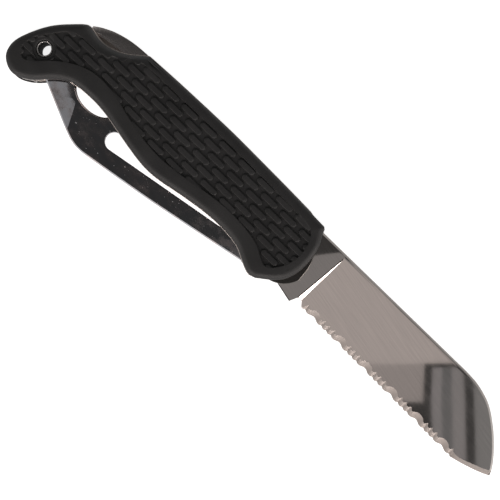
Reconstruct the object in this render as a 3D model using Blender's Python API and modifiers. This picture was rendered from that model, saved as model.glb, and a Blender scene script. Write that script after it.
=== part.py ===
"""Rigging knife: a serrated sheepsfoot lock-back blade and a shackle key in one handle.

The knife lies on its left side with the blade open and the key folded.  The origin is where the
common pivot of blade and key meets the plane it lies on.  +X runs along the open blade to its
point, +Y to the spine, +Z out of the right side.  Lengths are millimetres, and levels are heights
above the handle's middle plane, which the empty "middle_plane" lifts clear of the ground.
"""

import math

import bmesh
import bpy
from mathutils import Matrix, Vector
from mathutils.geometry import interpolate_bezier

MM = 0.001

# Layers through the thickness.
HANDLE_THICKNESS = 16.5
LINER_THICKNESS = 1.0
CENTRE_THICKNESS = 0.8
BLADE_THICKNESS = 2.8
KEY_THICKNESS = 2.4
WASHER_SPACE = 0.3
WASHER_THICKNESS = 0.2
SKIN = 0.05  # left between faces that meet

BAY_HALF = (BLADE_THICKNESS + KEY_THICKNESS + CENTRE_THICKNESS + 4 * WASHER_SPACE) / 2
LINER_OUTSIDE = BAY_HALF + LINER_THICKNESS
BLADE_LOW = -BAY_HALF + WASHER_SPACE
BLADE_HIGH = BLADE_LOW + BLADE_THICKNESS
CENTRE_LOW = BLADE_HIGH + WASHER_SPACE
CENTRE_HIGH = CENTRE_LOW + CENTRE_THICKNESS
KEY_LOW = CENTRE_HIGH + WASHER_SPACE
KEY_HIGH = KEY_LOW + KEY_THICKNESS
BLADE_BAY = (-BAY_HALF + SKIN, CENTRE_LOW - SKIN)
KEY_BAY = (CENTRE_HIGH + SKIN, BAY_HALF - SKIN)

# Handle.
SCALE_INSET = 0.25  # how far the steel liners stand proud of the scales
FILLER_INSET = 0.4
SCALE_ROUND = 1.2
POCKET_DEPTH = 1.3

# Pins: centre, shaft radius and head radius.
PIVOT = ((0.0, 0.0), 2.4, 3.3)
ROCKER = ((-48.0, 12.5), 1.25, 1.9)
UPPER_BUTT = ((-96.2, -0.9), 1.0, 1.6)
LOWER_BUTT = ((-98.4, -13.9), 1.0, 1.6)
PINS = (PIVOT, ROCKER, UPPER_BUTT, LOWER_BUTT)
PIN_PLAY = 0.05
PIN_HEAD = 0.9

# Lanyard eyelet.
EYELET = (-95.4, -6.1)
EYELET_BORE = 2.0
EYELET_TUBE = 2.35
EYELET_LIP = 2.52
EYELET_HALF = 7.0
SCALE_HOLE = 2.62
STEEL_HOLE = 2.4

# Blade.
BACK = 12.8
TIP = (92.0, -5.2)
TANG_RIM = 8.4
SHOULDER = -0.85
EDGE_START = 15.3
EDGE_END = 79.3
EDGE_HEEL = -8.3
EDGE_DROP = 1.1  # from the heel to the end of the teeth
TOOTH_PITCH = 11.0
FIRST_SCALLOP = 20.0
SCALLOP_DEPTH = 0.65
SCALLOP_HALF_WIDTH = 2.2
NOTCH_DEPTH = 0.35
NOTCH_HALF_WIDTH = 0.8
NOTCH_OFFSETS = (-3.5, 3.5, 5.5)
GRIND_TOP = 11.6
GRIND_SLOPE = 0.0553
BLADE_REACH = 92.5  # nothing else in the blade bay lies nearer the pivot at the butt

# Shackle key.
KEY_TANG = 9.3
KEY_FLAT = 9.1
KEY_REACH = 93.0
NOSE_LEVEL = 9.6  # underside of the backspring's nose, just clear of the turning tang
KEY_TIP_GRIND = 9.0
KEY_TIP_THICKNESS = 1.0

# Colour, metallic and roughness of each finish.
FINISHES = {
    "moulded_nylon": ((0.030, 0.030, 0.032, 1.0), 0.0, 0.62),
    "liner_steel": ((0.50, 0.47, 0.45, 1.0), 1.0, 0.34),
    "blade_steel": ((0.62, 0.59, 0.57, 1.0), 1.0, 0.20),
    "lock_steel": ((0.40, 0.37, 0.36, 1.0), 1.0, 0.24),
    "key_steel": ((0.34, 0.34, 0.36, 1.0), 1.0, 0.16),
    "spring_steel": ((0.36, 0.35, 0.34, 1.0), 1.0, 0.38),
    "pin_steel": ((0.60, 0.58, 0.56, 1.0), 1.0, 0.22),
    "bronze": ((0.58, 0.36, 0.16, 1.0), 1.0, 0.35),
    "eyelet_steel": ((0.72, 0.71, 0.70, 1.0), 1.0, 0.15),
}

SPINE_FRONT = [(3.2, 14.5), (-11, 15.0), (-24, 15.3), (-36, 15.5), (-48, 15.35), (-60, 15.05)]
SCOOP = [(-71, 14.6), (-73.2, 12.9), (-76.5, 10.3), (-80.5, 8.4), (-85, 7.7), (-90.2, 8.6)]
# The left liner's scoop is shallower, so that it hides the gap under the lock bar's tail.
LEFT_SCOOP = [(-71, 14.6), (-73.2, 13.3), (-76.5, 11.3), (-80.5, 9.9), (-85, 9.3), (-90.2, 8.8)]


def clear_scene():
    for item in list(bpy.data.objects):
        bpy.data.objects.remove(item, do_unlink=True)


def new_collection(name):
    collection = bpy.data.collections.new(name)
    bpy.context.scene.collection.children.link(collection)
    return collection


# ---------------------------------------------------------------- outlines

def smooth(points, steps=4):
    """Return a smooth open curve through the points, both ends included."""
    knots = [Vector(point) for point in points]
    last = len(knots) - 1
    tangents = []
    for index in range(last + 1):
        before = knots[max(index - 1, 0)]
        after = knots[min(index + 1, last)]
        tangents.append((after - before).normalized())
    curve = []
    for index in range(last):
        start, end = knots[index], knots[index + 1]
        reach = (end - start).length / 3
        leave = start + tangents[index] * reach
        arrive = end - tangents[index + 1] * reach
        curve += interpolate_bezier(start, leave, arrive, end, steps + 1)[:-1]
    curve.append(knots[last])
    return [(point[0], point[1]) for point in curve]


def join(*runs):
    """Chain runs of points into one outline, without repeating the points they share."""
    outline = []
    for run in runs:
        for point in run:
            if not outline or math.dist(point, outline[-1]) > 0.01:
                outline.append(point)
    if math.dist(outline[0], outline[-1]) < 0.01:
        outline.pop()
    return outline


def arc(centre, radius, start, end, steps):
    """Return points on a circle between two angles in degrees."""
    points = []
    for index in range(steps + 1):
        angle = math.radians(start + (end - start) * index / steps)
        points.append((centre[0] + radius * math.cos(angle), centre[1] + radius * math.sin(angle)))
    return points


def ring(centre, radius, sides=28):
    """Return a circle's polygon whose flats, not its corners, lie at the radius."""
    return arc(centre, radius / math.cos(math.pi / sides), 0, 360, sides)[:-1]


def inset(outline, distance):
    """Move a counterclockwise outline inwards."""
    moved = []
    for index, here in enumerate(outline):
        before = Vector(outline[index - 1])
        after = Vector(outline[(index + 1) % len(outline)])
        here = Vector(here)
        arriving = (here - before).normalized()
        leaving = (after - here).normalized()
        normal = Vector((-arriving.y - leaving.y, arriving.x + leaving.x)).normalized()
        spread = max(normal.dot(Vector((-leaving.y, leaving.x))), 0.5)
        moved.append(tuple(here + normal * distance / spread))
    return moved


def section(outline, start, end):
    """Return the stretch of a closed outline between the points nearest to start and end."""
    first = min(range(len(outline)), key=lambda index: math.dist(outline[index], start))
    last = min(range(len(outline)), key=lambda index: math.dist(outline[index], end))
    count = (last - first) % len(outline)
    return [outline[(first + index) % len(outline)] for index in range(count + 1)]


def handle_outline(scoop=SCOOP):
    """Spine, thumb scoop over the lock bar's tail, butt, belly and front, counterclockwise."""
    spine = SPINE_FRONT + [scoop[0]]
    corner = [scoop[-1], (-91.3, 8.3)]
    butt = [(-91.3, 8.3), (-93, 7), (-99, 0.5), (-103, -7), (-104.1, -12), (-102.5, -16.2),
            (-97.5, -18.4), (-92, -16), (-87, -11), (-83, -8.3), (-79, -7.3), (-73, -7.1)]
    belly = [(-73, -7.1), (-68, -7.6), (-58, -9.6), (-50, -10.85), (-44, -10.8), (-34, -9.1),
             (-26, -8.0), (-19, -7.75), (-12, -8.6), (-6.5, -11.2), (-3.5, -12.2), (-1, -11.7)]
    front = [(-1, -11.7), (3.5, -8.2), (6.3, -4.5), (7.5, 1), (6.8, 8), (4.5, 12.6)]
    nose = [(4.5, 12.6), (3.9, 13.9), (3.2, 14.5)]
    return join(smooth(spine), smooth(scoop), corner, smooth(butt, 3), smooth(belly, 3),
                smooth(front), nose)


def edge_line(x):
    """Height of the serrated edge: a slow drop, broad scallops and narrow notches between."""
    along = (x - EDGE_START) / (EDGE_END - EDGE_START)
    height = EDGE_HEEL - EDGE_DROP * along
    phase = (x - FIRST_SCALLOP + TOOTH_PITCH / 2) % TOOTH_PITCH - TOOTH_PITCH / 2
    cuts = [(0.0, SCALLOP_HALF_WIDTH, SCALLOP_DEPTH)]
    cuts += [(offset, NOTCH_HALF_WIDTH, NOTCH_DEPTH) for offset in NOTCH_OFFSETS]
    for centre, half_width, depth in cuts:
        away = abs((phase - centre + TOOTH_PITCH / 2) % TOOTH_PITCH - TOOTH_PITCH / 2)
        if away < half_width:
            height += depth * (0.5 + 0.5 * math.cos(math.pi * away / half_width))
    return height


def blade_outline():
    """Back, point, plain tip, teeth, choil, ricasso, closed-lock recess, rim and lock notch."""
    point = smooth([(60, BACK), (65, BACK), (70.5, 12.3), (76.8, 10.2), (83, 5.8), (87, 2.0),
                    (89.6, -1.0), (91.3, -3.5), TIP], 3)
    plain = smooth([TIP, (89, -6.55), (84, -8.2), (EDGE_END, edge_line(EDGE_END))], 3)
    teeth = []
    step = 0.5
    for index in range(int((EDGE_END - EDGE_START) / step) + 1):
        x = EDGE_END - index * step
        teeth.append((x, edge_line(x)))
    heel = [(EDGE_START - 0.2, EDGE_HEEL), (13.9, -6.8), (12.3, -6.9), (11.1, -9.5), (4.0, -7.9)]
    recess = [(4.0, -6.25), (-SHOULDER, -6.95)]
    rim_end = math.degrees(math.acos(-SHOULDER / TANG_RIM))
    rim_start = math.degrees(math.acos(-3.85 / TANG_RIM))
    rim = arc((0, 0), TANG_RIM, 360 - rim_end, rim_start, 28)
    notch = [(-3.85, 6.25), (SHOULDER, 6.95), (SHOULDER, BACK)]
    return join(notch[2:], point, plain, teeth, heel, recess, rim, notch[:2])


def lock_bar_outline():
    """Back, tail, underside, and the nose that drops into the tang's notch."""
    back = [(x, y - 0.3) for x, y in SPINE_FRONT[1:]]
    tail = [(-70, 14.5), (-78, 14.0), (-84, 12.6), (-88, 10.8), (-90.5, 9.2)]
    back = smooth([(-1.2, 14.25), (-6, 14.45)] + back + tail)
    under = [(-90.4, 8.6), (-88.9, 7.9), (-84, 8.9), (-78.5, 9.6), (-70, 9.9), (-48, 10.2),
             (-16, 10.6), (-12, 11.1), (-3.5, 11.1)]
    nose_radius = 8.75
    nose = arc((0, 0), nose_radius, math.degrees(math.acos(-3.5 / nose_radius)),
               math.degrees(math.acos(-1.2 / nose_radius)), 4)
    return join(back, under, nose)


def key_outline():
    """Lower arm, opener, screwdriver end, bridge, upper arm and round tang."""
    lower = [(-0.6, -KEY_FLAT), (-0.6, -11.0), (-7.5, -11.0)]
    lower += smooth([(-7.9, -10.8), (-38.2, -16.55), (-50, -18.5), (-62, -20.35)], 3)
    opener = smooth([(-62, -20.35), (-64, -20.65), (-66, -20.9), (-68.5, -20.9), (-71, -20.4),
                     (-74, -19.3), (-80, -16.7)], 3)
    driver = [(-80, -16.7), (-90.9, -11.9), (-89.0, -7.2)]
    hook = smooth([(-89.0, -7.2), (-86.5, -4.9), (-83.8, -4.1), (-81.9, -4.9), (-81.3, -7.4)], 3)
    bite = smooth([(-81.3, -7.4), (-79.4, -9.0), (-77, -10), (-74, -10.3), (-71.5, -10),
                   (-69.3, -9.2), (-67.6, -7.9), (-67.2, -6.4), (-65.8, -5.0), (-63.8, -4.5)], 3)
    upper = [(-63.8, -4.5), (-9.33, 2.25)]
    flat = math.degrees(math.asin(KEY_FLAT / KEY_TANG))
    rear = arc((0, 0), KEY_TANG, 166.5, 180 - flat, 12)
    front = smooth([(2.2, KEY_FLAT), (5.6, 7.3), (7.6, 4.4), (8.5, 1.4), (8.8, -1.2)], 4)
    front += arc((0, 0), KEY_TANG, -18, -flat, 10)
    clockwise = join(lower, opener, driver, hook, bite, upper, rear, front)
    return clockwise[::-1]


def key_window():
    """Long tapered opening between the key's two arms."""
    left = arc((-60.9, -11.7), 2.85, 97, 279, 12)
    right = arc((-15.5, -5.1), 2.0, -81, 97, 10)
    return join(left, right)


def ribbon(path, width):
    """Return the outline of a strip that follows a path."""
    sides = ([], [])
    for index, here in enumerate(path):
        before = Vector(path[max(index - 1, 0)])
        after = Vector(path[min(index + 1, len(path) - 1)])
        along = (after - before).normalized()
        across = Vector((-along.y, along.x)) * width / 2
        sides[0].append(tuple(Vector(here) - across))
        sides[1].append(tuple(Vector(here) + across))
    return sides[0] + sides[1][::-1]


def lock_spring_path():
    bend = smooth([(-95.9, 2.9), (-94.3, 4.9), (-91.8, 6.45), (-88.9, 7.3)], 4)
    return [(-99.2, -2.4)] + bend


# ---------------------------------------------------------------- solids

def place(mesh, name, matrix, collection):
    result = bpy.data.objects.new(name, mesh)
    collection.objects.link(result)
    result.matrix_world = matrix
    return result


def plate(name, loops, levels, collection, centre=(0.0, 0.0)):
    """Make a flat solid from an outline and its holes, between two levels."""
    low, high = levels
    curve = bpy.data.curves.new(name, "CURVE")
    curve.dimensions = "2D"
    curve.fill_mode = "BOTH"
    curve.extrude = (high - low) / 2 * MM
    for loop in loops:
        spline = curve.splines.new("POLY")
        spline.points.add(len(loop) - 1)
        for point, (x, y) in zip(spline.points, loop):
            point.co = ((x - centre[0]) * MM, (y - centre[1]) * MM, 0, 1)
        spline.use_cyclic_u = True
    outline = bpy.data.objects.new(name + "_outline", curve)
    outline.location = (centre[0] * MM, centre[1] * MM, (low + high) / 2 * MM)
    collection.objects.link(outline)
    bpy.context.view_layer.update()
    graph = bpy.context.evaluated_depsgraph_get()
    mesh = bpy.data.meshes.new_from_object(outline.evaluated_get(graph))
    weld(mesh)
    matrix = outline.matrix_world.copy()
    bpy.data.objects.remove(outline)
    mesh.name = name
    return place(mesh, name, matrix, collection)


def weld(mesh):
    shape = bmesh.new()
    shape.from_mesh(mesh)
    bmesh.ops.remove_doubles(shape, verts=shape.verts, dist=0.002 * MM)
    bmesh.ops.recalc_face_normals(shape, faces=shape.faces)
    shape.to_mesh(mesh)
    shape.free()


def turned(name, profile, centre, collection, closed=False, steps=32):
    """Turn a profile of (radius, height) about a vertical axis, down its outer side."""
    points = [(radius * MM, 0, height * MM) for radius, height in profile]
    edges = [(index, index + 1) for index in range(len(points) - 1)]
    if closed:
        edges.append((len(points) - 1, 0))
    mesh = bpy.data.meshes.new(name)
    mesh.from_pydata(points, edges, [])
    result = bpy.data.objects.new(name, mesh)
    result.location = (centre[0] * MM, centre[1] * MM, 0)
    collection.objects.link(result)
    screw = result.modifiers.new("turn", "SCREW")
    screw.axis = "Z"
    screw.steps = steps
    screw.render_steps = steps
    screw.use_merge_vertices = True
    screw.merge_threshold = 0.001 * MM
    return result


def cut(target, cutter):
    cutter.hide_render = True
    cutter.display_type = "WIRE"
    modifier = target.modifiers.new("cut_" + cutter.name, "BOOLEAN")
    modifier.operation = "DIFFERENCE"
    modifier.solver = "EXACT"
    modifier.object = cutter


def round_rim(target, side, width, segments):
    """Round the outline of a plate's upper or lower face."""
    shape = bmesh.new()
    shape.from_mesh(target.data)
    cap = [face for face in shape.faces if face.normal.z * side > 0.9]
    merged = bmesh.ops.dissolve_faces(shape, faces=cap)["region"]
    rim = [edge for face in merged for edge in face.edges]
    bmesh.ops.bevel(shape, geom=rim, offset=width * MM, segments=segments, profile=0.5,
                    affect="EDGES", clamp_overlap=True)
    shape.to_mesh(target.data)
    shape.free()


def finish(target, name):
    colour, metallic, roughness = FINISHES[name]
    material = bpy.data.materials.new(target.name + "_finish")
    material.use_nodes = True
    shader = material.node_tree.nodes["Principled BSDF"]
    shader.inputs["Base Color"].default_value = colour
    shader.inputs["Metallic"].default_value = metallic
    shader.inputs["Roughness"].default_value = roughness
    material.diffuse_color = colour
    target.data.materials.append(material)
    return target


def shade(target, angle=30):
    if target.data.polygons:
        target.data.shade_smooth()
        target.data.set_sharp_from_angle(angle=math.radians(angle))


def pin_holes():
    return [ring(centre, radius + PIN_PLAY) for centre, radius, _ in PINS]


def butt_holes():
    holes = [ring(centre, radius + PIN_PLAY) for centre, radius, _ in (UPPER_BUTT, LOWER_BUTT)]
    return holes + [ring(EYELET, STEEL_HOLE)]


# ---------------------------------------------------------------- sub-parts

def make_scale(name, side, parts, cutters):
    """Moulded cover with blind pockets for the pin heads on its inner face."""
    inner = LINER_OUTSIDE + SKIN
    outer = HANDLE_THICKNESS / 2
    levels = (inner, outer) if side > 0 else (-outer, -inner)
    scale = plate(name, [inset(handle_outline(), SCALE_INSET)], levels, parts)
    round_rim(scale, side, SCALE_ROUND, 3)
    top = side * (inner + POCKET_DEPTH)
    bottom = side * (inner - 1.0)
    high, low = max(top, bottom), min(top, bottom)
    for index, (centre, _, head) in enumerate(PINS):
        radius = head + 0.2
        profile = [(0, high), (radius, high), (radius, low), (0, low)]
        cut(scale, turned(f"{name}_pocket_{index + 1}", profile, centre, cutters, steps=24))
    through = [(0, 10), (SCALE_HOLE, 10), (SCALE_HOLE, -10), (0, -10)]
    cut(scale, turned(name + "_lanyard_hole", through, EYELET, cutters))
    return finish(scale, "moulded_nylon")


def make_liner(name, levels, parts, scoop=SCOOP):
    loops = [handle_outline(scoop)] + pin_holes() + [ring(EYELET, STEEL_HOLE)]
    return finish(plate(name, loops, levels, parts), "liner_steel")


def grind_cutter(name, side, cutters):
    """Wedge that grinds one side of the blade, ending in a slanted plunge plane."""
    middle = (BLADE_LOW + BLADE_HIGH) / 2
    half = BLADE_THICKNESS / 2
    above, below = 13.5, -12.0
    profile = [(above, half + (above - GRIND_TOP) * GRIND_SLOPE),
               (below, half + (below - GRIND_TOP) * GRIND_SLOPE),
               (below, half + 2.0), (above, half + 2.0)]
    profile = [(y, middle + side * z) for y, z in profile]
    wedge = plate(name, [profile], (10.0, 100.0), cutters)
    for vertex in wedge.data.vertices:
        if vertex.co.z < 0:
            y, z = vertex.co.x / MM, side * (vertex.co.y / MM - middle) - half
            start = 14.3 + 0.104 * (y - GRIND_TOP) - 1.485 * z
            vertex.co.z = (start - 55.0) * MM
    wedge.matrix_world = Matrix(((0, 0, 1, 0), (1, 0, 0, 0), (0, 1, 0, 0), (0, 0, 0, 1))) @ (
        wedge.matrix_world)
    return wedge


def make_blade(parts, cutters):
    loops = [blade_outline(), ring(PIVOT[0], PIVOT[1] + PIN_PLAY)]
    blade = plate("main_blade", loops, (BLADE_LOW, BLADE_HIGH), parts)
    cut(blade, grind_cutter("right_grind", 1, cutters))
    cut(blade, grind_cutter("left_grind", -1, cutters))
    return finish(blade, "blade_steel")


def make_lock_bar(parts):
    centre, radius, _ = ROCKER
    loops = [lock_bar_outline(), ring(centre, radius + PIN_PLAY)]
    bar = plate("lock_bar", loops, (BLADE_LOW, BLADE_HIGH), parts, centre)
    return finish(bar, "lock_steel")


def make_lock_spring(parts):
    levels = (BLADE_LOW + 0.1, BLADE_HIGH - 0.1)
    leaf = plate("lock_spring", [ribbon(lock_spring_path(), 0.5)], levels, parts)
    return finish(leaf, "spring_steel")


def make_butt_spacer(parts, cutters):
    """Fills the blade bay at the butt and holds the foot of the lock spring."""
    outer = section(inset(handle_outline(), FILLER_INSET), (-94.6, 4.6), (-92.6, -15.9))
    start = 180 + math.degrees(math.atan2(-outer[-1][1], -outer[-1][0]))
    inner = arc((0, 0), BLADE_REACH, start, 178.4, 10)
    loops = [join(outer, inner)] + butt_holes()
    spacer = plate("butt_spacer", loops, BLADE_BAY, parts)
    slot = plate("spring_slot", [ribbon(lock_spring_path(), 0.8)], (-6.0, 2.0), cutters)
    cut(spacer, slot)
    return finish(spacer, "spring_steel")


def tip_cutter(name, side, cutters):
    """Wedge that thins one side of the key's screwdriver end."""
    middle = (KEY_LOW + KEY_HIGH) / 2
    half = KEY_THICKNESS / 2
    slope = (KEY_THICKNESS - KEY_TIP_THICKNESS) / 2 / KEY_TIP_GRIND
    reach = 14.0
    profile = [(-2.0, half + 2 * slope), (reach, half - reach * slope), (reach, half + 2),
               (-2.0, half + 2)]
    profile = [(along, side * z) for along, z in profile]
    wedge = plate(name, [profile], (-14.0, 14.0), cutters)
    stand = Matrix(((1, 0, 0, 0), (0, 0, -1, 0), (0, 1, 0, 0), (0, 0, 0, 1)))
    turn = Matrix.Rotation(math.radians(157), 4, "Z")
    wedge.matrix_world = Matrix.Translation(Vector((-82.2, -13.6, middle)) * MM) @ turn @ stand
    return wedge


def make_key(parts, cutters):
    loops = [key_outline(), key_window(), ring(PIVOT[0], PIVOT[1] + PIN_PLAY)]
    key = plate("shackle_key", loops, (KEY_LOW, KEY_HIGH), parts)
    cut(key, tip_cutter("right_tip_grind", 1, cutters))
    cut(key, tip_cutter("left_tip_grind", -1, cutters))
    return finish(key, "key_steel")


def make_key_spring(parts):
    """Backspring along the spine and round the butt, its nose over the key's tang."""
    outer = section(inset(handle_outline(), FILLER_INSET), (-5, 14.4), (-92.2, -15.7))
    start = 180 + math.degrees(math.atan2(-outer[-1][1], -outer[-1][0]))
    inner = arc((0, 0), KEY_REACH, start, 179.2, 10)
    under = smooth([(-92.0, 1.8), (-88, 2.9), (-83, 3.6), (-78, 6.0), (-73, 9.4), (-66, 10.7),
                    (-48, 10.9), (-14, 10.8), (-7, 10.4), (-4.5, NOSE_LEVEL)], 3)
    nose = [(0.2, NOSE_LEVEL), (0.2, 14.2)]
    holes = butt_holes() + [ring(ROCKER[0], ROCKER[1] + PIN_PLAY)]
    spring = plate("key_spring", [join(outer, inner, under, nose)] + holes, KEY_BAY, parts)
    return finish(spring, "spring_steel")


def make_pin(name, pin, parts):
    """Pin with a peened head at each end, outside the liners."""
    centre, shaft, head = pin
    seat = LINER_OUTSIDE + SKIN
    crown = seat + PIN_HEAD
    upper = [(0, crown), (head * 0.6, crown), (head * 0.9, crown - 0.2), (head, crown - 0.5),
             (head, seat), (shaft, seat)]
    lower = [(radius, -height) for radius, height in reversed(upper)]
    return finish(turned(name, upper + lower, centre, parts, steps=28), "pin_steel")


def make_washer(name, middle, parts):
    high = middle + WASHER_THICKNESS / 2
    low = middle - WASHER_THICKNESS / 2
    inner, outer = PIVOT[1] + 0.1, 6.0
    profile = [(outer, high), (outer, low), (inner, low), (inner, high)]
    return finish(turned(name, profile, PIVOT[0], parts, closed=True), "bronze")


def make_eyelet(parts):
    """Tube with both ends rolled outwards, inside the scales' lanyard holes."""
    outer = [(EYELET_LIP, EYELET_HALF - 0.25), (EYELET_LIP - 0.05, EYELET_HALF - 0.55),
             (EYELET_TUBE, EYELET_HALF - 1.0)]
    bore = [(EYELET_BORE, EYELET_HALF - 0.7), (EYELET_BORE + 0.12, EYELET_HALF - 0.2),
            (EYELET_BORE + 0.32, EYELET_HALF)]
    outside = outer + [(radius, -height) for radius, height in reversed(outer)]
    inside = [(radius, -height) for radius, height in reversed(bore)] + bore
    eyelet = turned("lanyard_eyelet", outside + inside, EYELET, parts, closed=True)
    return finish(eyelet, "eyelet_steel")


def lift(pieces):
    """Stand the middle plane half the handle's thickness above the ground."""
    middle_plane = bpy.data.objects.new("middle_plane", None)
    middle_plane.location.z = HANDLE_THICKNESS / 2 * MM
    bpy.context.scene.collection.objects.link(middle_plane)
    for piece in pieces:
        piece.parent = middle_plane


def build():
    clear_scene()
    parts = new_collection("rigging_knife")
    cutters = new_collection("cutters")
    make_scale("right_scale", 1, parts, cutters)
    make_scale("left_scale", -1, parts, cutters)
    make_liner("right_liner", (BAY_HALF, LINER_OUTSIDE), parts)
    make_liner("left_liner", (-LINER_OUTSIDE, -BAY_HALF), parts, LEFT_SCOOP)
    make_liner("centre_liner", (CENTRE_LOW, CENTRE_HIGH), parts)
    make_blade(parts, cutters)
    make_lock_bar(parts)
    make_lock_spring(parts)
    make_butt_spacer(parts, cutters)
    make_key(parts, cutters)
    make_key_spring(parts)
    make_pin("pivot_pin", PIVOT, parts)
    make_pin("lock_bar_pin", ROCKER, parts)
    make_pin("upper_butt_pin", UPPER_BUTT, parts)
    make_pin("lower_butt_pin", LOWER_BUTT, parts)
    make_washer("left_blade_washer", BLADE_LOW - WASHER_SPACE / 2, parts)
    make_washer("right_blade_washer", BLADE_HIGH + WASHER_SPACE / 2, parts)
    make_washer("left_key_washer", KEY_LOW - WASHER_SPACE / 2, parts)
    make_washer("right_key_washer", KEY_HIGH + WASHER_SPACE / 2, parts)
    make_eyelet(parts)
    for part in parts.objects:
        shade(part)
    lift(list(parts.objects) + list(cutters.objects))


build()
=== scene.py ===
"""Looks of the rigging knife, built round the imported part.

Lengths are millimetres in the part's own frame: the pivot stands at X 0, Y 0, the blade runs
along +X, the spine faces +Y, and the right side of the handle, which faces +Z, is looked at.
"""

import math

import bmesh
import bpy
import numpy as np
from mathutils import Matrix, Vector
from mathutils.geometry import delaunay_2d_cdt, interpolate_bezier


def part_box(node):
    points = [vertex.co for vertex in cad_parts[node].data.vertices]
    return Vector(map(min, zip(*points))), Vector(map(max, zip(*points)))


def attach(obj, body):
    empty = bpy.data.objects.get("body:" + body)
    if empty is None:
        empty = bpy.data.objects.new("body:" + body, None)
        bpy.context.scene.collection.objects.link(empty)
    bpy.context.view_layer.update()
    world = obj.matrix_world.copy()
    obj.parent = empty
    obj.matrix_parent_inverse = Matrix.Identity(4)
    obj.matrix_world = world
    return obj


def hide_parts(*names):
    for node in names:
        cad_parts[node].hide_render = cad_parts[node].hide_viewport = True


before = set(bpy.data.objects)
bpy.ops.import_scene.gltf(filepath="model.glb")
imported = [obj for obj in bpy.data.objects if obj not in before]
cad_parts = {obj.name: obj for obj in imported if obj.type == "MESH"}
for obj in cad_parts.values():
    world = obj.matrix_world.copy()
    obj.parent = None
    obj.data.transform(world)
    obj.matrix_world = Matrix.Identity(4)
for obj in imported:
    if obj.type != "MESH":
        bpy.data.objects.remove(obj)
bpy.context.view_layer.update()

MM = 0.001
CORNER = math.radians(24)  # a sharper turn than this stays a corner
LONG_RUN = 5.0  # a longer straight stretch stays straight
ON_PATH = 0.012  # an edge nearer than this to a crease belongs to it
SHARP = math.radians(32)  # edges that bend more than this are shaded sharp
GRID = 0.14  # spacing of the points along the teeth and of the coarse grid
FINE_GRID = 0.1


def levels(node):
    """Lowest and highest level of a CAD node."""
    low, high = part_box(node)
    return low.z / MM, high.z / MM


def centre_of(node):
    """X and Y of the middle of a CAD node."""
    low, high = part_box(node)
    return (low.x + high.x) / 2 / MM, (low.y + high.y) / 2 / MM


def fade_in(value, start, end):
    """0 up to start, 1 from end on and even between; end may lie below start."""
    return np.clip((value - start) / (end - start), 0, 1)


# -------------------- outlines

def cad_loops(node):
    """Outline and holes of a CAD node seen from above, the largest first.

    Material lies to the left of every loop's direction.
    """
    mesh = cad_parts[node].data
    spots = [tuple(round(value / MM, 3) for value in vertex.co) for vertex in mesh.vertices]
    edges = set()
    for face in mesh.polygons:
        if face.normal.z > 0.02:
            ring = [spots[index] for index in face.vertices]
            edges.update(zip(ring, ring[1:] + ring[:1]))
    following = {start: end for start, end in edges if (end, start) not in edges}
    loops = []
    while following:
        start, here = following.popitem()
        loop = [start]
        while here != start:
            loop.append(here)
            here = following.pop(here)
        loops.append([spot[:2] for spot in loop])
    return sorted(loops, key=lambda loop: -abs(area(loop)))


def area(loop):
    """Area of a closed loop, negative if it runs clockwise."""
    x, y = np.array(loop).T
    return float(np.sum(x * np.roll(y, -1) - y * np.roll(x, -1)) / 2)


def thinned(loop, nearest=0.06):
    """The loop without points that nearly repeat the one before."""
    kept = [loop[0]]
    for point in loop[1:]:
        if math.dist(point, kept[-1]) > nearest:
            kept.append(point)
    return kept


def refined(loop, step=0.5):
    """The same closed outline with finer curves; corners and long straight runs stay."""
    points = [Vector(point) for point in thinned(loop)]
    count = len(points)
    runs = [points[(index + 1) % count] - points[index] for index in range(count)]

    def direction(index, own):
        before, after = runs[index - 1], runs[index % count]
        if before.angle(after) > CORNER:
            return own.normalized()
        if max(before.length, after.length) > LONG_RUN:
            return max(before, after, key=lambda run: run.length).normalized()
        return (before + after).normalized()

    curve = []
    for index, run in enumerate(runs):
        start, end = points[index], points[(index + 1) % count]
        steps = max(1, math.ceil(run.length / step))
        if run.length > LONG_RUN:
            curve += [start.lerp(end, part / steps) for part in range(steps)]
            continue
        leave = start + direction(index, run) * run.length / 3
        arrive = end - direction((index + 1) % count, run) * run.length / 3
        curve += interpolate_bezier(start, leave, arrive, end, steps + 1)[:-1]
    return [(point[0], point[1]) for point in curve]


def smooth(points, steps=8):
    """A smooth open curve through the points."""
    knots = [Vector(point) for point in points]
    last = len(knots) - 1
    ways = [(knots[min(index + 1, last)] - knots[max(index - 1, 0)]).normalized()
            for index in range(last + 1)]
    curve = []
    for index in range(last):
        start, end = knots[index], knots[index + 1]
        reach = (end - start).length / 3
        curve += interpolate_bezier(start, start + ways[index] * reach,
                                    end - ways[index + 1] * reach, end, steps + 1)[:-1]
    return [(point[0], point[1]) for point in curve] + [tuple(points[-1])]


def inset(loop, width):
    """The loop moved into the material on its left, by a width or by a width for each point."""
    moved = []
    for index, here in enumerate(loop):
        before, after = Vector(loop[index - 1]), Vector(loop[(index + 1) % len(loop)])
        here = Vector(here)
        arriving, leaving = (here - before).normalized(), (after - here).normalized()
        normal = Vector((-arriving.y - leaving.y, arriving.x + leaving.x)).normalized()
        spread = max(normal.dot(Vector((-leaving.y, leaving.x))), 0.5)
        reach = width(here) if callable(width) else width
        moved.append(tuple(here + normal * reach / spread))
    return moved


def ellipse(centre, halves, sides=48):
    return [(centre[0] + halves[0] * math.cos(math.tau * index / sides),
             centre[1] + halves[1] * math.sin(math.tau * index / sides)) for index in range(sides)]


def circle(centre, radius):
    return ellipse(centre, (radius, radius))


def closed(loop):
    return list(loop) + [loop[0]]


# -------------------- distances and level lines

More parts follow.
